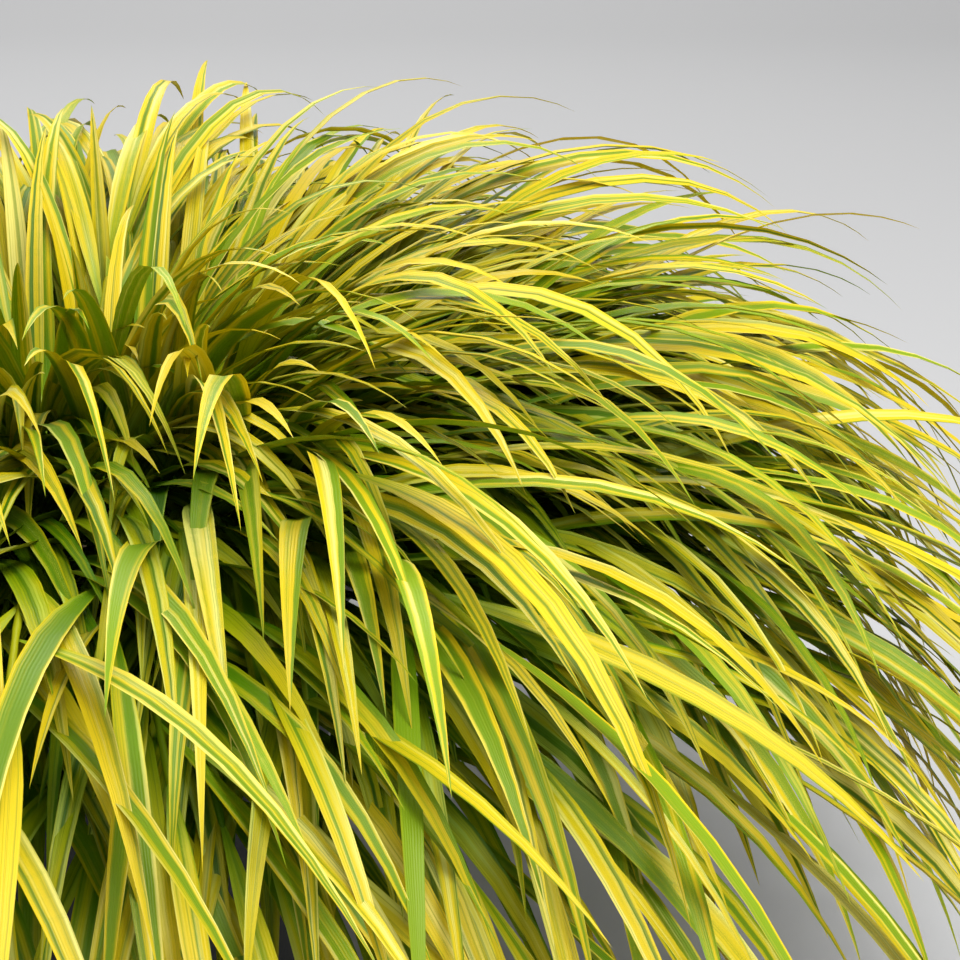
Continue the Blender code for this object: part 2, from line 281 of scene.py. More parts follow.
def draw_out(name, sides, rings, pointed=False):
    """A closed body along +Y from (place, half width, half height) rings, by extruding and scaling."""
    deselect_everything()
    bpy.ops.mesh.primitive_circle_add(vertices=sides, radius=1, fill_type="NGON",
                                      rotation=(math.pi / 2, 0, 0))
    body = bpy.context.object
    body.name = name
    bpy.ops.object.transform_apply(location=False, rotation=True, scale=False)
    bpy.ops.object.mode_set(mode="EDIT")
    bpy.ops.mesh.select_all(action="SELECT")
    place, wide, high = rings[0]
    bpy.ops.transform.resize(value=(wide, 1, high), center_override=(0, 0, 0))
    bpy.ops.transform.translate(value=(0, place, 0))
    for next_place, next_wide, next_high in rings[1:]:
        bpy.ops.mesh.extrude_region_move(TRANSFORM_OT_translate={"value": (0, next_place - place, 0)})
        bpy.ops.transform.resize(
            value=(next_wide / wide, 1, next_high / high), center_override=(0, next_place, 0))
        place, wide, high = next_place, next_wide, next_high
    if pointed:
        bpy.ops.mesh.merge(type="CENTER")
    bpy.ops.mesh.select_all(action="SELECT")
    bpy.ops.mesh.normals_make_consistent(inside=False)
    bpy.ops.object.mode_set(mode="OBJECT")
    return body


# %% Model the blade
BLADE_LENGTH = 180 * MM
BLADE_WIDTH = 10 * MM
BLADE_THICKNESS = 0.5 * MM
TIP_THICKNESS_SHARE = 0.35
BLADE_FOLD = 0.22
BLADE_STATIONS = (0, 0.03, 0.08, 0.15, 0.23, 0.32, 0.42, 0.52, 0.62, 0.72, 0.81, 0.89, 0.95, 1)
TIP_WIDTH = 0.1 * MM


def model_blade():
    """A blade at its middling size, flat along +Y, folded along its midrib."""
    rings = []
    for share in BLADE_STATIONS:
        half = max(BLADE_WIDTH / 2 * blade_width_share(share), TIP_WIDTH)
        thin = BLADE_THICKNESS / 2 * mix(1.0, TIP_THICKNESS_SHARE, share)
        rings.append((share * BLADE_LENGTH, half, thin))
    blade = draw_out("blade", 4, rings, pointed=True)
    for vertex in blade.data.vertices:
        vertex.co.z += BLADE_FOLD * abs(vertex.co.x)
    return blade


master_blade = model_blade()
print(f"blade: {len(master_blade.data.polygons)} faces, "
      f"{[round(v / MM, 1) for v in master_blade.dimensions]} mm")

# %% Model the stem, swollen where each leaf sheath ends
STEM_SIDES = 6
STEM_SHARE = 0.8
SHEATH_SWELL = 1.22
SHEATH_LIP = 0.012
ROOT_END, TIP_END = -0.12, 1.02
TIP_SHARE = 0.4


def model_stem(name, shares):
    """A stem one unit long along +Y. Its radius is one unit at the root, so each copy can set its own."""
    tip = STEM_RADIUS_TIP / STEM_RADIUS_ROOT
    rings = [(ROOT_END, 1.0, 1.0), (0.0, 1.0, 1.0)]
    for share in shares:
        thin = mix(1.0, tip, share) * STEM_SHARE
        swollen = thin * SHEATH_SWELL
        rings += [(share - SHEATH_LIP, swollen, swollen), (share + SHEATH_LIP, thin, thin)]
    rings.append((TIP_END, tip * TIP_SHARE, tip * TIP_SHARE))
    return draw_out(name, STEM_SIDES, rings)


master_stems = {leaves: model_stem(f"stem_{leaves}", leaf_shares(leaves))
                for leaves in range(LEAVES_IN, LEAVES_OUT + 1)}
print("stems:", {count: len(stem.data.polygons) for count, stem in master_stems.items()}, "faces")

# %% [markdown]
# ## Laying a copy along its line
# Each copy keeps the master's faces and gets new points. A point's place along the master picks a spot on
# the grown line, and its sideways and upward parts are laid out square to the line there. Three numbers
# go with every point for the colours to follow: where it is across the blade, where it is along it, and a
# number of the blade's own, so that no two blades are striped alike. A flat map gives every copy a cell of
# its own, where its colours can be laid out as on paper.

# %% Read the masters into arrays
ON_MIDRIB = 1e-7


class Master:
    """A modelled body as arrays: its points, its faces, and each corner's place round it and along it."""

    def __init__(self, body, length, fold):
        mesh = body.data
        self.points = np.array([vertex.co[:] for vertex in mesh.vertices])
        self.faces = [tuple(face.vertices) for face in mesh.polygons]
        self.share = self.points[:, 1] / length
        across, up = self.points[:, 0], self.points[:, 2]
        self.side = np.where(np.abs(across) > ON_MIDRIB, np.sign(across), 0.0)
        turn = (np.arctan2(up - fold * np.abs(across), across) / math.tau) % 1.0
        corners = []
        for face in self.faces:
            turns = [turn[corner] for corner in face]
            # A face that crosses the seam has its low corners moved on by one turn.
            if max(turns) - min(turns) > 0.5:
                turns = [value + 1 if value < 0.5 else value for value in turns]
            corners += [(value, self.share[corner]) for value, corner in zip(turns, face)]
        self.corners = np.array(corners)
        bpy.data.objects.remove(body)


BLADE = Master(master_blade, BLADE_LENGTH, BLADE_FOLD)
STEMS = {leaves: Master(stem, 1.0, 0.0) for leaves, stem in master_stems.items()}
print(f"masters: {len(BLADE.points)} points a blade, "
      f"{[len(stem.points) for stem in STEMS.values()]} a stem")


# %% Lay a blade and a stem along their lines
TWIST = 26
SWAY = 3 * MM
ROOT_SHARE = 0.5


def frames_along(points, ways, across, shares, twist=0.0):
    """For each share of a line: the point, the direction across and the direction up."""
    centres, sides, ups = [], [], []
    for share in shares:
        way = along(ways, share).normalized()
        side = Matrix.Rotation(twist * share, 3, way) @ across
        up = side.cross(way).normalized()
        centres.append(along(points, share))
        sides.append(way.cross(up))
        ups.append(up)
    return np.array(centres), np.array(sides), np.array(ups)


def lay_blade(line, looks):
    """The points of a blade laid along its line, twisted and swayed a little, with its colour numbers."""
    points, ways, across, width = line
    twist = math.radians(looks.uniform(-TWIST, TWIST))
    sway = looks.uniform(-SWAY, SWAY)
    shares, where = np.unique(BLADE.share, return_inverse=True)
    centres, sides, ups = (part[where] for part in frames_along(points, ways, across, shares, twist))
    scale = width / BLADE_WIDTH
    aside = BLADE.points[:, :1] * scale + sway * np.sin(math.pi * BLADE.share[:, None])
    laid = centres + sides * aside + ups * BLADE.points[:, 2:] * scale
    colour = np.column_stack([BLADE.side, BLADE.share, np.full(len(laid), looks.random())])
    return laid, colour


def lay_stem(points, ways, leaves, looks):
    """The points of a stem, from its root in the soil to its tip."""
    master = STEMS[leaves]
    root = points[0] - root_way(ways) * (ROOT_DEPTH * ROOT_SHARE + ROOT_ABOVE)
    across = level_across(ways[0])
    shares, where = np.unique(master.share, return_inverse=True)
    centres, sides, ups = frames_along(points, ways, across, shares)
    centres[shares < 0] = root
    spread = sides[where] * master.points[:, :1] + ups[where] * master.points[:, 2:]
    laid = centres[where] + spread * STEM_RADIUS_ROOT
    colour = np.column_stack([np.zeros(len(laid)), master.share, np.full(len(laid), looks.random())])
    return laid, colour


# %% Join laid copies into one piece
MAP_MARGIN = 0.94
CELL_SHAPE = 4
# How strongly each blade takes the painted shade, from its own number.
SHADE_LEAST, SHADE_VARIES = 0.5, 0.9
BLADE_EDGE = math.radians(70)


def join_copies(name, copies, material):
    """One mesh of all the copies, each a (master, points, colour numbers), with its flat map."""
    points, faces, colours, corners, shades = [], [], [], [], []
    columns = math.ceil(math.sqrt(len(copies) * CELL_SHAPE))
    rows = math.ceil(len(copies) / columns)
    first = 0
    for number, (master, laid, colour) in enumerate(copies):
        points.append(laid)
        colours.append(colour)
        # Painted shade: each point's depth in the clump, scaled by the blade's own number, later greens and
        # darkens its colour.
        own = SHADE_LEAST + SHADE_VARIES * colour[:, 2]
        shades.append(np.clip(depth_in_shade(laid) * own, 0, 1))
        faces += [tuple(corner + first for corner in face) for face in master.faces]
        low = master.corners.min(axis=0)
        cell = (master.corners - low) / (master.corners.max(axis=0) - low)
        corners.append((cell * MAP_MARGIN + (number % columns, number // columns)) / (columns, rows))
        first += len(laid)
    mesh = bpy.data.meshes.new(name)
    mesh.from_pydata(np.concatenate(points).tolist(), [], faces)
    blade = mesh.attributes.new("blade", "FLOAT_VECTOR", "POINT")
    blade.data.foreach_set("vector", np.concatenate(colours).astype(np.float32).ravel())
    shade = mesh.attributes.new("shade", "FLOAT", "POINT")
    shade.data.foreach_set("value", np.concatenate(shades).astype(np.float32))
    flat = mesh.uv_layers.new(name="OFBake")
    flat.data.foreach_set("uv", np.concatenate(corners).astype(np.float32).ravel())
    mesh.materials.append(material)
    mesh.shade_smooth()
    mesh.set_sharp_from_angle(angle=BLADE_EDGE)
    piece = bpy.data.objects.new(name, mesh)
    bpy.context.scene.collection.objects.link(piece)
    return piece


# %% [markdown]
# ## Colour and surface
# Stripes, veins and speckle are patterns that more than one finish can use, so each is a node group with
# named inputs and outputs. The stripes are a noise that is stretched along the blade: it changes quickly
# across and slowly along, and the blade's own number moves each blade to another part of it. Some blades
# come out nearly all yellow with hairlines of green, some half and half, and some green with yellow
# margins, as on the living plant.

# %% Helpers for node groups
def new_group(name, inputs, outputs):
    """An empty shader node group. inputs and outputs map a socket's name to its kind and starting value."""
    group = bpy.data.node_groups.new(name, "ShaderNodeTree")
    for direction, sockets in (("INPUT", inputs), ("OUTPUT", outputs)):
        for socket, (kind, value) in sockets.items():
            made = group.interface.new_socket(socket, in_out=direction, socket_type=f"NodeSocket{kind}")
            if value is not None:
                made.default_value = value
    return group, group.nodes.new("NodeGroupInput"), group.nodes.new("NodeGroupOutput")


def node(tree, kind, values=(), **settings):
    """A node with its settings and its unlinked input values, or links where a value is a socket."""
    made = tree.nodes.new(f"ShaderNode{kind}")
    for name, value in settings.items():
        setattr(made, name, value)
    for socket, value in dict(values).items():
        if isinstance(value, bpy.types.NodeSocket):
            tree.links.new(value, made.inputs[socket])
        else:
            made.inputs[socket].default_value = value
    return made


def maths(tree, operation, *values):
    """The result of one sum, whose values are numbers or sockets."""
    return node(tree, "Math", enumerate(values), operation=operation).outputs[0]


def ease_between(tree, value, low, high):
    """0 below low, 1 above high and a smooth step between them."""
    step = node(tree, "MapRange", {"Value": value, "From Min": low, "From Max": high},
                interpolation_type="SMOOTHSTEP")
    return step.outputs["Result"]


def blend_colours(tree, share, first, second, way="MIX"):
    """The first colour at a share of 0 and the second, laid over it in the given way, at 1."""
    made = tree.nodes.new("ShaderNodeMix")
    made.data_type = "RGBA"
    made.blend_type = way
    for socket, value in zip(("Factor_Float", "A_Color", "B_Color"), (share, first, second)):
        slot = next(each for each in made.inputs if each.identifier == socket)
        if isinstance(value, bpy.types.NodeSocket):
            tree.links.new(value, slot)
        else:
            slot.default_value = value
    return next(each for each in made.outputs if each.identifier == "Result_Color")


# %% Build the stripes
# How often each kind of streak changes across a blade and along it, and how far it is moved on.
# The pale kind gives patches of painted sheen, which stand in for the satin highlights along the blades.
BROAD, FINE, SHEEN_STREAKS = (1.5, 0.22, 0.0), (9.0, 0.45, 17.0), (1.3, 1.1, 31.0)
BLADES_APART = 61.0
STREAK_ROUGHNESS = 0.6
LEAST_GREEN, GREEN_RANGE, GREEN_RARITY = -0.15, 0.31, 1.5
MARGIN_GREEN = -0.14
FINE_SHARE = 0.22
HAIRLINES, HAIRLINE_GREEN = (0.56, 0.7), 0.45
# Where the pale streaks become patches of painted sheen.
SHEEN_PATCH_EDGES = (0.46, 0.72)


def build_stripes():
    """Stripes along a blade, from its colour numbers: how green each spot is, and how pale its painted sheen
    makes it.
    """
    group, given, out = new_group(
        "blade stripes",
        {"Blade": ("Vector", None), "Green": ("Float", 0.5), "Softness": ("Float", 0.06)},
        {name: ("Float", None) for name in ("Green", "Painted Sheen", "Own", "Fine")})
    parts = node(group, "SeparateXYZ", {"Vector": given.outputs["Blade"]})
    across, lengthways, own = parts.outputs
    spread_own = maths(group, "MULTIPLY", own, BLADES_APART)
    hashed = node(group, "TexWhiteNoise", {"W": spread_own}, noise_dimensions="1D").outputs["Value"]

    def streaks(kind, detail):
        across_scale, along_scale, shift = kind
        place = node(group, "CombineXYZ", {
            "X": maths(group, "MULTIPLY", across, across_scale),
            "Y": maths(group, "MULTIPLY", lengthways, along_scale),
            "Z": maths(group, "ADD", spread_own, shift)})
        noise = node(group, "TexNoise", {"Vector": place.outputs[0], "Scale": 1.0, "Detail": detail,
                                         "Roughness": STREAK_ROUGHNESS})
        return noise.outputs["Fac"]

    broad, fine, pale = streaks(BROAD, 0.0), streaks(FINE, 1.0), streaks(SHEEN_STREAKS, 1.0)
    rare = maths(group, "POWER", hashed, GREEN_RARITY)
    leaning = maths(group, "MULTIPLY_ADD", rare, GREEN_RANGE, LEAST_GREEN)
    margin = maths(group, "MULTIPLY", maths(group, "MULTIPLY", across, across), MARGIN_GREEN)
    level = maths(group, "ADD", maths(group, "ADD", broad, leaning), margin)
    level = maths(group, "MULTIPLY_ADD", maths(group, "SUBTRACT", fine, 0.5), FINE_SHARE, level)
    level = maths(group, "ADD", level, maths(group, "SUBTRACT", given.outputs["Green"], 0.5))
    softness = given.outputs["Softness"]
    step = ease_between(group, level, maths(group, "SUBTRACT", 0.5, softness),
                        maths(group, "ADD", 0.5, softness))
    hairlines = maths(group, "MULTIPLY", ease_between(group, fine, *HAIRLINES), HAIRLINE_GREEN)
    group.links.new(maths(group, "MAXIMUM", step, hairlines), out.inputs["Green"])
    # Pale patches: a painted sheen.
    group.links.new(ease_between(group, pale, *SHEEN_PATCH_EDGES), out.inputs["Painted Sheen"])
    group.links.new(hashed, out.inputs["Own"])
    group.links.new(fine, out.inputs["Fine"])
    return group


# %% Build the veins and the speckle
GROOVE_WIDTH, GROOVE_DEPTH = 0.12, 1.5


def build_veins():
    """Fine raised lines along a blade, with a groove at the midrib. Gives a height."""
    group, given, out = new_group("blade veins", {"Blade": ("Vector", None), "Veins": ("Float", 26.0)},
                                  {"Height": ("Float", None)})
    across = node(group, "SeparateXYZ", {"Vector": given.outputs["Blade"]}).outputs[0]
    waves = maths(group, "SINE", maths(group, "MULTIPLY", across, given.outputs["Veins"]))
    groove = ease_between(group, maths(group, "ABSOLUTE", across), 0.0, GROOVE_WIDTH)
    group.links.new(maths(group, "MULTIPLY_ADD", groove, GROOVE_DEPTH, waves), out.inputs["Height"])
    return group


def build_speckle():
    """Grain at two sizes on object coordinates. Gives a value about a half and a height."""
    group, given, out = new_group("speckle", {"Size": ("Float", 300.0), "Contrast": ("Float", 0.5)},
                                  {"Value": ("Float", None), "Height": ("Float", None)})
    place = group.nodes.new("ShaderNodeTexCoord").outputs["Object"]
    size, contrast = given.outputs["Size"], given.outputs["Contrast"]
    coarse = node(group, "TexNoise", {"Vector": place, "Scale": size, "Detail": 4.0}).outputs["Fac"]
    grains = node(group, "TexVoronoi", {"Vector": place, "Scale": size}).outputs["Distance"]
    value = maths(group, "MULTIPLY_ADD", maths(group, "SUBTRACT", coarse, 0.5), contrast, 0.5)
    group.links.new(value, out.inputs["Value"])
    group.links.new(maths(group, "ADD", coarse, grains), out.inputs["Height"])
    return group


STRIPES, VEINS, SPECKLE = build_stripes(), build_veins(), build_speckle()
print("groups:", [group.name for group in (STRIPES, VEINS, SPECKLE)])


# %% Make the leaf finish
YELLOW = (0.74, 0.55, 0.008, 1)
# The cream is a painted sheen, a pale highlight laid into the colour.
PAINTED_SHEEN_CREAM = (0.84, 0.74, 0.19, 1)
GREEN = (0.25, 0.37, 0.005, 1)
DEEP_GREEN = (0.06, 0.15, 0.004, 1)
LIME = (0.42, 0.54, 0.012, 1)
# The two tints below are laid on by painted shade. The first greens deep points, partly the plant's own
# colour and partly painted green shade light. The second darkens them as painted shade.
SHADE_GREEN_TINT = (0.5, 0.86, 0.3, 1)
PAINTED_SHADE_TINT = (0.38, 0.47, 0.15, 1)
THROUGH = 0.34
THROUGH_LIME = 0.4
GREEN_SHARE, STRIPE_SOFTNESS = 0.525, 0.11
FOOT_LENGTH, FOOT_LIME = 0.3, 0.6
FULL_GREEN = 0.5
LEAF_SHINE = 0.22
SATIN_LEAST, SATIN_VARIES = 0.3, 0.2
VEIN_STRENGTH, VEIN_HEIGHT = 0.25, 0.12 * MM


def new_material(name, specular, roughness=0.5):
    made = bpy.data.materials.new(name)
    made.use_nodes = True
    shader = made.node_tree.nodes["Principled BSDF"]
    shader.inputs["Roughness"].default_value = roughness
    shader.inputs["Specular IOR Level"].default_value = specular
    return made, made.node_tree, shader


def add_bump(tree, shader, height, strength, distance):
    """Bump on the shader from a height. Gives the bumped normal."""
    bump = node(tree, "Bump", {"Height": height, "Strength": strength, "Distance": distance})
    tree.links.new(bump.outputs["Normal"], shader.inputs["Normal"])
    return bump.outputs["Normal"]


def leaf_material():
    """Yellow blades striped green, with pale patches of painted sheen and painted shade that greens and
    darkens them deep in the clump; satin, veined, and lit from behind as thin leaves are.
    """
    made, tree, shader = new_material("leaf_striped", LEAF_SHINE)
    blade = node(tree, "Attribute", attribute_name="blade").outputs["Vector"]
    stripes = node(tree, "Group", {"Blade": blade, "Green": GREEN_SHARE, "Softness": STRIPE_SOFTNESS},
                   node_tree=STRIPES).outputs
    lengthways = node(tree, "SeparateXYZ", {"Vector": blade}).outputs[1]
    # Painted sheen: pale cream patches over the yellow.
    yellow = blend_colours(tree, stripes["Painted Sheen"], YELLOW, PAINTED_SHEEN_CREAM)
    green = blend_colours(tree, stripes["Own"], DEEP_GREEN, GREEN)
    striped = blend_colours(tree, stripes["Green"], yellow, green)
    foot = maths(tree, "MULTIPLY", ease_between(tree, lengthways, FOOT_LENGTH, 0.0), FOOT_LIME)
    lit = blend_colours(tree, foot, striped, LIME)
    # Painted shade: points deep in the clump are tinted greener, partly their own colour and partly painted
    # green shade light, and then darkened.
    shade = node(tree, "Attribute", attribute_name="shade").outputs["Fac"]
    greened_in_shade = blend_colours(tree, ease_between(tree, shade, 0.0, FULL_GREEN), lit, SHADE_GREEN_TINT, "MULTIPLY")
    colour = blend_colours(tree, shade, greened_in_shade, PAINTED_SHADE_TINT, "MULTIPLY")
    tree.links.new(colour, shader.inputs["Base Color"])
    veins = node(tree, "Group", {"Blade": blade}, node_tree=VEINS)
    normal = add_bump(tree, shader, veins.outputs["Height"], VEIN_STRENGTH, VEIN_HEIGHT)
    satin = maths(tree, "MULTIPLY_ADD", stripes["Fine"], SATIN_VARIES, SATIN_LEAST)
    tree.links.new(satin, shader.inputs["Roughness"])
    through = blend_colours(tree, THROUGH_LIME, colour, LIME)
    glow = node(tree, "BsdfTranslucent", {"Color": through, "Normal": normal})
    both = node(tree, "MixShader", {0: THROUGH, 1: shader.outputs[0], 2: glow.outputs[0]})
    tree.links.new(both.outputs[0], tree.nodes["Material Output"].inputs["Surface"])
    return made


LEAF = leaf_material()
print("leaf finish:", len(LEAF.node_tree.nodes), "nodes")

# %% [markdown]
# ## Growing the clump
# First come the stems that the model's solids have. A solid kept only those draws that came clear of its
# neighbours, so the same draws are made again, and the one whose tip lies on a corner of the solid is the
# one that grew. Then many more stems are grown by the same rule to fill the clump to the density of the
# real plant.

# %% Find the draws that grew in the model
ON_CORNER = 0.05 * MM


def corners_of(name):
    return np.array([vertex.co[:] for vertex in frame["nodes"][name].data.vertices])


def touches(corners, point):
    return np.abs(corners - np.array(point)).max(axis=1).min() < ON_CORNER


def grow_leaves(draw, place, points, ways, bow, grows):
    """The lines of a stem's blades. Each is the first of its draws whose points pass the test grows."""
    leaves = []
    shares = leaf_shares(leaf_count(place))
    for leaf, share in enumerate(shares):
        hand = 0 if share == shares[-1] else (-1) ** leaf
        for _ in range(LEAF_TRIES):
            line = grow_leaf_line(draw, place, points, ways, share, hand, bow)
            if grows(line[0]):
                leaves.append(line)
                break
    return leaves


def stem_as_modelled(index, count, corners):
    """The lines of the stem and blades that the solid has."""
    draw = random.Random(SEED + index)
    for _ in range(STEM_TRIES):
        place, points, ways = grow_stem_line(draw, index, count, 1.0)
        if touches(corners, points[-1] + level_across(ways[-1]) * STEM_RADIUS_TIP):
            break
    leaves = grow_leaves(draw, place, points, ways, 1.0, lambda line: touches(corners, line[-1]))
    return place, points, ways, leaves


def dress_stem(place, points, ways, leaves, looks):
    """The laid copies of one stem and its blades."""
    copies = [(BLADE, *lay_blade(line, looks)) for line in leaves]
    count = leaf_count(place)
    return copies + [(STEMS[count], *lay_stem(points, ways, count, looks))]


# %% Dress each solid stem
dressed = {}
for index, name in enumerate(STEM_NODES):
    lines = stem_as_modelled(index, len(STEM_NODES), corners_of(name))
    dressed[name] = dress_stem(*lines, random.Random(f"looks {index}"))
print(f"dressed {len(dressed)} stems with {sum(len(copies) - 1 for copies in dressed.values())} blades")

# %% Fill the clump
FILL_STEMS = 420
FILL_PIECES = 12
FILL_BOW = 0.9
FILL_PROUD = Vector((18, 18, -14)) * MM
LOWEST_TIP = 34 * MM


def room_left(points):
    """Whether a line stays near enough to the model's box and above the surface that the pot stands on."""
    low = [min(point[axis] for point in points) for axis in range(3)]
    high = [max(point[axis] for point in points) for axis in range(3)]
    sideways = all(low[axis] > CAD_LOW[axis] - FILL_PROUD[axis] for axis in range(2))
    inside = all(high[axis] < CAD_HIGH[axis] + FILL_PROUD[axis] for axis in range(3))
    return sideways and inside and low[2] > LOWEST_TIP


def fill_stem(index, count):
    """A stem like the modelled ones, which stays near their box."""
    draw = random.Random(f"fill {index}")
    place, points, ways = grow_stem_line(draw, index, count, FILL_BOW)
    leaves = grow_leaves(draw, place, points, ways, FILL_BOW, room_left)
    return dress_stem(place, points, ways, leaves, draw)


fills = [[] for _ in range(FILL_PIECES)]
for index in range(FILL_STEMS):
    fills[index % FILL_PIECES] += fill_stem(index, FILL_STEMS)
print(f"fill: {sum(len(copies) for copies in fills)} blades and stems")

# %% [markdown]
# Leaves deep in the clump get little light and stay green, while those on the outside turn yellow. So every
# point gets one more number, its shade, which makes deep leaves greener and darker: the greening is partly
# the plant's own colour and partly painted green shade light, and the darkening is painted shade. The clump
# is much the same all round, so a table over distance from the middle and height is enough: it holds how
# much foliage lies above each of its cells, or outside it.

# %% Measure the shade
CELL = 10 * MM
FULL_SHADE = 82
everything = np.concatenate([laid for copies in [*dressed.values(), *fills] for _, laid, _ in copies])


def reach_and_height(points):
    return np.hypot(points[:, 0], points[:, 1]), points[:, 2]


def cells_of(points):
    """The table cell of each point, kept inside the table."""
    return tuple(np.clip((value / CELL).astype(int), 0, size - 1)
                 for value, size in zip(reach_and_height(points), TABLE_SIZE))


TABLE_SIZE = tuple(int(value.max() / CELL) + 1 for value in reach_and_height(everything))
foliage = np.zeros(TABLE_SIZE)
np.add.at(foliage, cells_of(everything), 1 / np.maximum(reach_and_height(everything)[0], CELL))
above = np.cumsum(foliage[:, ::-1], axis=1)[:, ::-1]
outside = np.cumsum(foliage[::-1], axis=0)[::-1]
cover = np.minimum(above, outside)
full = np.percentile(cover[cells_of(everything)], FULL_SHADE)


def depth_in_shade(points):
    """0 on the outside of the clump and 1 deep in it, for each point."""
    return np.clip(cover[cells_of(points)] / full, 0, 1)


print(f"shade: {TABLE_SIZE[0]} x {TABLE_SIZE[1]} cells, {depth_in_shade(everything).mean():.2f} on average")

# %% Join the copies into pieces
for name, copies in dressed.items():
    piece = join_copies(name.replace("leafy_stem", "grass_stem"), copies, LEAF)
    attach(piece, "root")
    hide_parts(name)
for number, copies in enumerate(fills):
    piece = join_copies(f"grass_fill_{number + 1:02d}", copies, LEAF)
    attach(piece, "root")
print(f"joined {len(dressed)} stems and {len(fills)} fills")

# %% [markdown]
# ## The pot and its soil
# The pot is plain and round. A hand modeller would take a disc, extrude it up the wall, step out for the
# rim, come in over the top and go down inside, scaling the ring each time. The soil is a disc with rings
# inset in it, roughened by a displacement, with crumbs lying on it.

# %% Model the pot
POT_SIDES = 96
POT_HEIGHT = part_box("pot")[1].z
POT_TOP_RADIUS = 127 * MM
POT_BASE_RADIUS = 94 * MM
POT_WALL = 7 * MM
POT_FLOOR = 10 * MM
RIM_HEIGHT = 22 * MM
RIM_OVERHANG = 5 * MM
RIM_EASE = 2.5 * MM
POT_EDGE = math.radians(35)
DRAIN_HOLES = 4
DRAIN_RADIUS = 6 * MM
DRAIN_CIRCLE = 55 * MM
DRAIN_SIDES = 24
DRILL_LENGTH = POT_FLOOR * 3


def model_pot():
    """The pot, extruded from a disc up its outside, over its rim and down its inside."""
    def wall(height):
        return mix(POT_BASE_RADIUS, POT_TOP_RADIUS, height / POT_HEIGHT)
    foot = POT_HEIGHT - RIM_HEIGHT
    rim = POT_TOP_RADIUS + RIM_OVERHANG
    path = [(0, POT_BASE_RADIUS - RIM_EASE), (RIM_EASE, POT_BASE_RADIUS), (foot, wall(foot)),
            (foot + RIM_EASE / 2, rim - RIM_EASE / 2), (foot + RIM_EASE, rim), (POT_HEIGHT - RIM_EASE, rim),
            (POT_HEIGHT - RIM_EASE / 3, rim - RIM_EASE / 3), (POT_HEIGHT, rim - RIM_EASE),
            (POT_HEIGHT, POT_TOP_RADIUS - POT_WALL + RIM_EASE),
            (POT_HEIGHT - RIM_EASE, POT_TOP_RADIUS - POT_WALL), (POT_FLOOR, wall(POT_FLOOR) - POT_WALL)]
    deselect_everything()
    bpy.ops.mesh.primitive_circle_add(vertices=POT_SIDES, radius=path[0][1], fill_type="NGON")
    pot = bpy.context.object
    pot.name = "pot_glazed"
    bpy.ops.object.mode_set(mode="EDIT")
    bpy.ops.mesh.select_all(action="SELECT")
    for (height, radius), (next_height, next_radius) in zip(path, path[1:]):
        bpy.ops.mesh.extrude_region_move(TRANSFORM_OT_translate={"value": (0, 0, next_height - height)})
        share = next_radius / radius
        bpy.ops.transform.resize(value=(share, share, 1), center_override=(0, 0, next_height))
    bpy.ops.mesh.select_all(action="SELECT")
    bpy.ops.mesh.normals_make_consistent(inside=False)
    bpy.ops.object.mode_set(mode="OBJECT")
    return pot


def drill_drains(pot):
    """Plain round holes through the pot's floor."""
    for hole in range(DRAIN_HOLES):
        turn = math.tau * (hole + 0.5) / DRAIN_HOLES
        bpy.ops.mesh.primitive_cylinder_add(
            vertices=DRAIN_SIDES, radius=DRAIN_RADIUS, depth=DRILL_LENGTH,
            location=(DRAIN_CIRCLE * math.cos(turn), DRAIN_CIRCLE * math.sin(turn), POT_FLOOR / 2))
        drill = bpy.context.object
        cut = pot.modifiers.new("Drain", "BOOLEAN")
        cut.object = drill
        cut.operation = "DIFFERENCE"
        bpy.context.view_layer.objects.active = pot
        bpy.ops.object.modifier_apply(modifier=cut.name)
        bpy.data.objects.remove(drill)


pot = model_pot()
drill_drains(pot)
pot.data.shade_smooth()
pot.data.set_sharp_from_angle(angle=POT_EDGE)
print(f"pot: {len(pot.data.polygons)} faces, {[round(v / MM) for v in pot.dimensions]} mm")


# %% Finish the pot
CHARCOAL = (0.02, 0.021, 0.022, 1)
ASH = (0.048, 0.049, 0.05, 1)
POT_SHINE = 0.3
POT_GRAIN, POT_MOTTLE = 420.0, 1.6
MATT_LEAST, MATT_VARIES = 0.48, 0.2
POT_BUMP, POT_GRAIN_HEIGHT = 0.18, 0.3 * MM


def pot_material():
    """Matt charcoal, faintly mottled, with the fine grain of a moulded or thrown wall."""
    made, tree, shader = new_material("pot_charcoal", POT_SHINE)
    grain = node(tree, "Group", {"Size": POT_GRAIN, "Contrast": POT_MOTTLE}, node_tree=SPECKLE).outputs
    tree.links.new(blend_colours(tree, grain["Value"], CHARCOAL, ASH), shader.inputs["Base Color"])
    matt = maths(tree, "MULTIPLY_ADD", grain["Value"], MATT_VARIES, MATT_LEAST)
    tree.links.new(matt, shader.inputs["Roughness"])
    add_bump(tree, shader, grain["Height"], POT_BUMP, POT_GRAIN_HEIGHT)
    return made


pot.data.materials.append(pot_material())
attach(pot, "root")
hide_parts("pot")

# %% Model the soil
SOIL_SIDES = 48
SOIL_RINGS = 14
SOIL_ROUGHNESS = 3.5 * MM
SOIL_EDGE = math.radians(40)
FACES_UP = 0.9
CRUMBS = 160
CRUMB_SIZE = (1.5 * MM, 3.6 * MM)
CRUMB_LENGTH, CRUMB_FLATNESS = (0.8, 1.3), (0.5, 0.9)
CRUMB_SUNK = 0.6
CRUMBS_REACH = 0.94


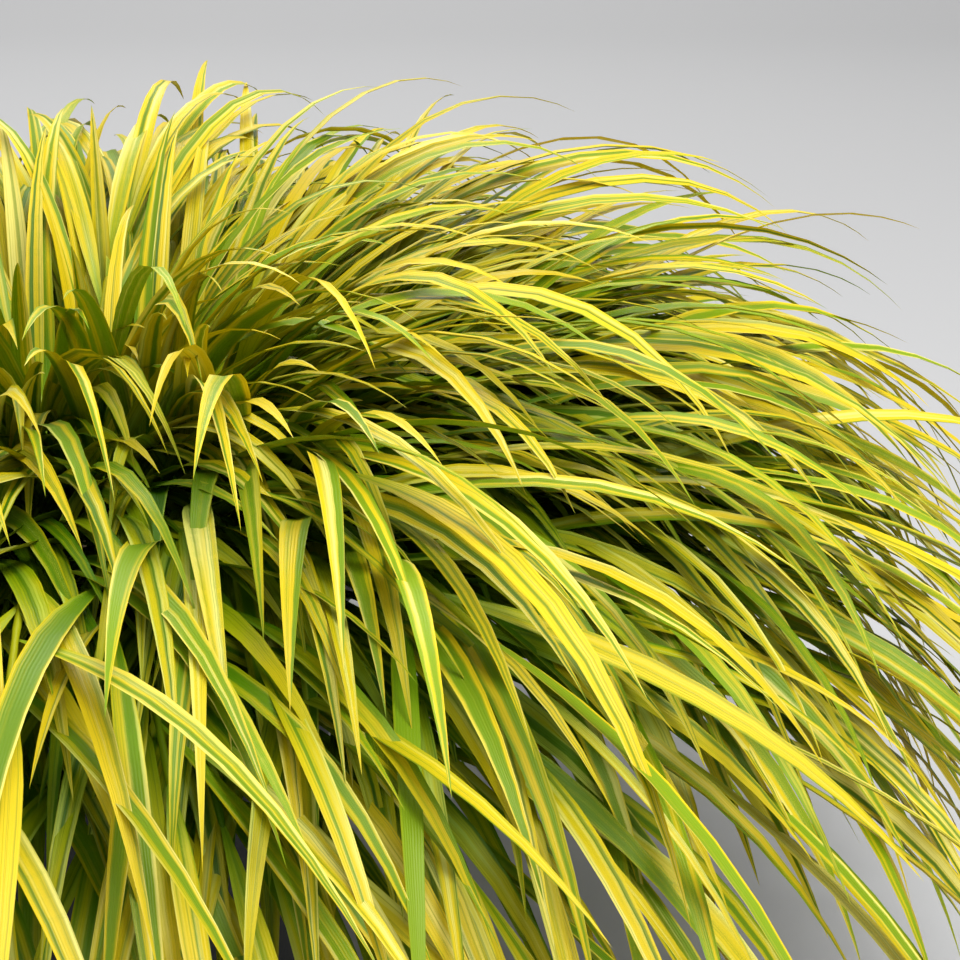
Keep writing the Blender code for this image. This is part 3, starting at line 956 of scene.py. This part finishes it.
def model_soil():
    """The soil as a disc with rings inset in its top, roughened by random dips."""
    low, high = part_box("soil")
    radius = high.x
    deselect_everything()
    bpy.ops.mesh.primitive_cylinder_add(vertices=SOIL_SIDES, radius=radius, depth=high.z - low.z,
                                        location=(0, 0, (high.z + low.z) / 2))
    soil = bpy.context.object
    soil.name = "soil_earth"
    bpy.ops.object.transform_apply(location=True, rotation=False, scale=False)
    foot_share = (POT_BASE_RADIUS - POT_WALL) / radius
    for vertex in soil.data.vertices:
        if vertex.co.z < high.z - MM:
            vertex.co.x *= foot_share
            vertex.co.y *= foot_share
    for face in soil.data.polygons:
        face.select = face.normal.z > FACES_UP
    bpy.ops.object.mode_set(mode="EDIT")
    bpy.ops.mesh.select_mode(type="FACE")
    for _ in range(SOIL_RINGS):
        bpy.ops.mesh.inset(thickness=radius / (SOIL_RINGS + 1), depth=0)
    bpy.ops.object.mode_set(mode="OBJECT")
    crumble = random.Random("soil")
    for vertex in soil.data.vertices:
        inside = math.hypot(vertex.co.x, vertex.co.y) < radius - MM
        if vertex.co.z > high.z - MM and inside:
            vertex.co.z -= crumble.random() * SOIL_ROUGHNESS
    return soil, radius


def add_crumbs(soil, radius):
    """Small lumps, modelled once and copied, half sunk in the soil's top."""
    deselect_everything()
    bpy.ops.mesh.primitive_ico_sphere_add(subdivisions=1, radius=1)
    lump = bpy.context.object
    crumble = random.Random("crumbs")
    crumbs = []
    for _ in range(CRUMBS):
        turn, out = crumble.uniform(0, math.tau), radius * CRUMBS_REACH * math.sqrt(crumble.random())
        crumb = bpy.data.objects.new("crumb", lump.data.copy())
        bpy.context.scene.collection.objects.link(crumb)
        size = crumble.uniform(*CRUMB_SIZE)
        squash = Matrix.Diagonal((size * crumble.uniform(*CRUMB_LENGTH), size,
                                  size * crumble.uniform(*CRUMB_FLATNESS), 1))
        place = Matrix.Translation((out * math.cos(turn), out * math.sin(turn), SOIL_TOP - size * CRUMB_SUNK))
        crumb.data.transform(place @ Matrix.Rotation(crumble.uniform(0, math.tau), 4, "Z") @ squash)
        crumbs.append(crumb)
    bpy.data.objects.remove(lump)
    deselect_everything()
    for crumb in crumbs:
        crumb.select_set(True)
    soil.select_set(True)
    bpy.context.view_layer.objects.active = soil
    bpy.ops.object.join()


# %% Finish the soil
WET_EARTH = (0.012, 0.008, 0.005, 1)
DRY_EARTH = (0.06, 0.038, 0.022, 1)
SOIL_ROUGH, SOIL_SHINE = 0.95, 0.2
SOIL_GRAIN, SOIL_MOTTLE = 260.0, 2.2
SOIL_BUMP, SOIL_GRAIN_HEIGHT = 0.8, 2 * MM


def soil_material():
    """Dark crumbly potting soil."""
    made, tree, shader = new_material("soil_crumbly", SOIL_SHINE, SOIL_ROUGH)
    grain = node(tree, "Group", {"Size": SOIL_GRAIN, "Contrast": SOIL_MOTTLE}, node_tree=SPECKLE).outputs
    colour = blend_colours(tree, grain["Value"], WET_EARTH, DRY_EARTH)
    tree.links.new(colour, shader.inputs["Base Color"])
    add_bump(tree, shader, grain["Height"], SOIL_BUMP, SOIL_GRAIN_HEIGHT)
    return made


soil, soil_radius = model_soil()
add_crumbs(soil, soil_radius)
soil.data.materials.clear()
soil.data.materials.append(soil_material())
soil.data.shade_smooth()
soil.data.set_sharp_from_angle(angle=SOIL_EDGE)
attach(soil, "root")
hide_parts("soil")
print(f"soil: {len(soil.data.polygons)} faces with {CRUMBS} crumbs")

# %% [markdown]
# ## The studio
# The photograph has an even pale grey behind the plant and soft light from above. One sheet serves as
# floor and backdrop: a floor that curves up behind. A broad lamp above, in front and to the right gives the
# soft shine on the blades. A second one lights the backdrop and shines through the leaves at the back. The
# air round them all is bright overhead and dim below, which deepens the gaps among the leaves.

# %% Build the sheet that is floor and backdrop
SHEET_SIZE = 8.0
SHEET_GREY = (0.37, 0.37, 0.373, 1)
CURVE_RADIUS = 1.2
CURVE_STEPS = 16
SHEET_ROUGH, SHEET_SHINE = 0.9, 0.2


def build_sheet():
    """A floor with its far edge turned up, rounded where it turns."""
    deselect_everything()
    bpy.ops.mesh.primitive_plane_add(size=SHEET_SIZE, location=(0, 0, 0))
    sheet = bpy.context.object
    sheet.name = "studio_sheet"
    bpy.ops.object.mode_set(mode="EDIT")
    bpy.ops.mesh.select_mode(type="EDGE")
    bpy.ops.mesh.select_all(action="DESELECT")
    bpy.ops.object.mode_set(mode="OBJECT")
    for edge in sheet.data.edges:
        edge.select = all(sheet.data.vertices[end].co.y > 0 for end in edge.vertices)
    bpy.ops.object.mode_set(mode="EDIT")
    bpy.ops.mesh.extrude_region_move(TRANSFORM_OT_translate={"value": (0, 0, SHEET_SIZE / 2)})
    bpy.ops.object.mode_set(mode="OBJECT")
    bend = sheet.modifiers.new("Bend", "BEVEL")
    bend.width = CURVE_RADIUS
    bend.segments = CURVE_STEPS
    bend.limit_method = "ANGLE"
    bpy.ops.object.modifier_apply(modifier=bend.name)
    sheet.data.shade_smooth()
    made, _, shader = new_material("studio_grey", SHEET_SHINE, SHEET_ROUGH)
    shader.inputs["Base Color"].default_value = SHEET_GREY
    sheet.data.materials.append(made)
    return sheet


print(f"sheet: {len(build_sheet().data.polygons)} faces")


# %% Light it
# Each lamp has its name, its place, its width in metres and its power in watts.
LAMPS = (("key_lamp", (0.6, -0.5, 1.8), 1.1, 40), ("back_lamp", (-0.4, 2.7, 2.4), 1.8, 46))
BRIGHT_SIDE = (0.1, -0.25, 0.95)
DIMMEST, BRIGHTEST = 0.25, 1.33


def add_lamp(name, place, size, power):
    data = bpy.data.lights.new(name, "AREA")
    data.size = size
    data.energy = power
    lamp = bpy.data.objects.new(name, data)
    bpy.context.scene.collection.objects.link(lamp)
    lamp.location = place
    lamp.rotation_euler = (CROWN - Vector(place)).to_track_quat("-Z", "Y").to_euler()


def soft_world(light_from, least, most):
    """Air that is bright on the side that the light comes from and dimmer on the other."""
    world = bpy.data.worlds.new("studio_air")
    bpy.context.scene.world = world
    world.use_nodes = True
    tree = world.node_tree
    way = tree.nodes.new("ShaderNodeTexCoord").outputs["Generated"]
    facing = node(tree, "VectorMath", {0: way, 1: Vector(light_from).normalized()}, operation="DOT_PRODUCT")
    level = node(tree, "MapRange", {"Value": facing.outputs["Value"], "From Min": -1, "From Max": 1,
                                    "To Min": least, "To Max": most})
    tree.links.new(level.outputs["Result"], tree.nodes["Background"].inputs["Strength"])
    tree.nodes["Background"].inputs["Color"].default_value = (1, 1, 1, 1)


for lamp in LAMPS:
    add_lamp(*lamp)
soft_world(BRIGHT_SIDE, DIMMEST, BRIGHTEST)
bpy.context.scene.view_settings.view_transform = "Standard"
